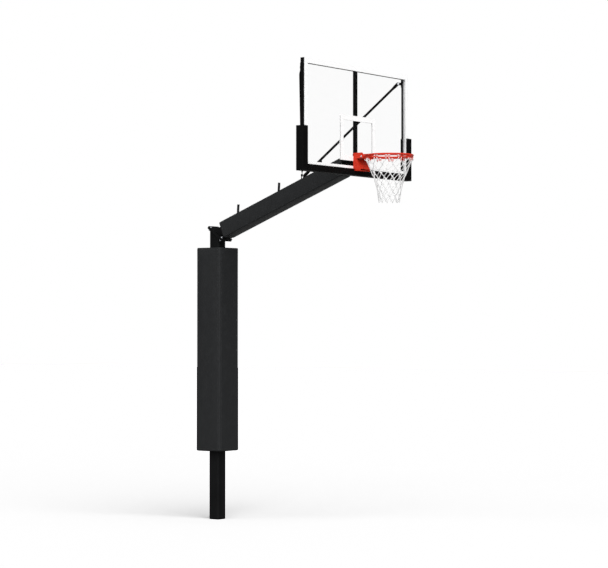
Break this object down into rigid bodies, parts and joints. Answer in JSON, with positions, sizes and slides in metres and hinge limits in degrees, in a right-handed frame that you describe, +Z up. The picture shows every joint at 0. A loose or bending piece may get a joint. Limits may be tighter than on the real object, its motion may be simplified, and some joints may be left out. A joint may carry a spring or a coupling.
{
  "type": "basketball hoop",
  "caption": "In-ground basketball hoop: padded square pole, padded rising arm with two braces, glass backboard with edge padding, breakaway ring and net.",
  "frame": {"origin": "on the pole's axis at the playing surface, 3.048 m below the top of the ring", "axes": "+Z up along the pole, the hoop faces -Y, +X to the right for someone who looks along +Y at the board's front"},
  "size_m": [1.9168, 2.6196, 4.6828],
  "materials": {
    "pole_steel": "satin black powder coat",
    "frame_steel": "satin black powder coat",
    "zinc": "bright zinc plate",
    "pad_vinyl": "coated vinyl fabric over foam",
    "glass": "clear tempered glass with a white printed border and target",
    "spacer": "matt light grey rubber",
    "edge_foam": "satin black moulded foam",
    "rim_red": "orange-red powder coat",
    "stop_rubber": "matt black rubber",
    "spring_steel": "plain spring steel",
    "net_cord": "white braided cord"
  },
  "bodies": {
    "stand": {"pole": "pole_steel", "pole_foot_plate": "pole_steel", "pole_pad": "pad_vinyl", "pole_flange_plate": "pole_steel", "arm_flange_plate": "pole_steel", "flange_bolt_1": "zinc", "flange_bolt_2": "zinc", "flange_bolt_3": "zinc", "flange_bolt_4": "zinc", "flange_nut_1": "zinc", "flange_nut_2": "zinc", "flange_nut_3": "zinc", "flange_nut_4": "zinc", "arm": "pole_steel", "arm_pad": "pad_vinyl", "arm_pad_tab_1": "pad_vinyl", "arm_pad_tab_2": "pad_vinyl", "arm_pad_tab_3": "pad_vinyl", "arm_head_plate": "frame_steel", "head_bolt_1": "zinc", "head_bolt_2": "zinc", "cross_channel": "frame_steel", "brace_lug": "frame_steel", "brace_left": "frame_steel", "brace_right": "frame_steel", "brace_pin_lower_left": "frame_steel", "brace_pin_lower_right": "frame_steel", "brace_pin_upper_left": "zinc", "brace_pin_upper_right": "zinc", "board_bracket_left": "frame_steel", "board_bracket_right": "frame_steel", "board_frame_bottom": "frame_steel", "board_frame_top": "frame_steel", "board_frame_left": "frame_steel", "board_frame_right": "frame_steel", "board_centre_bar": "frame_steel", "glass_panel": "glass", "glass_spacer": "spacer", "board_edge_pad": "edge_foam", "rim_backing_plate": "frame_steel", "rim_bracket": "rim_red", "rim_spring_cover": "rim_red", "rim_spring_shelf": "rim_red", "rim_stop_pad": "stop_rubber", "rim_bolt_1": "zinc", "rim_bolt_2": "zinc", "rim_bolt_3": "zinc", "rim_bolt_4": "zinc", "rim_pivot_bolt": "zinc", "rim_pivot_nut": "zinc", "rim_spring_1": "spring_steel", "rim_spring_2": "spring_steel"},
    "rim": {"rim_carrier": "rim_red", "rim_ring": "rim_red", "net_hook_wire": "rim_red", "net": "net_cord"}
  },
  "joints": [
    {"name": "rim_breakaway", "type": "hinge", "parent": "stand", "child": "rim", "pos_m": [0, -1.929, 3.039], "axis": [1, 0, 0], "range_deg": [0, 25], "stiffness_Nm_per_rad": 500, "springref_deg": -17.19, "deforming": ["rim_spring_1", "rim_spring_2"]}
  ]
}
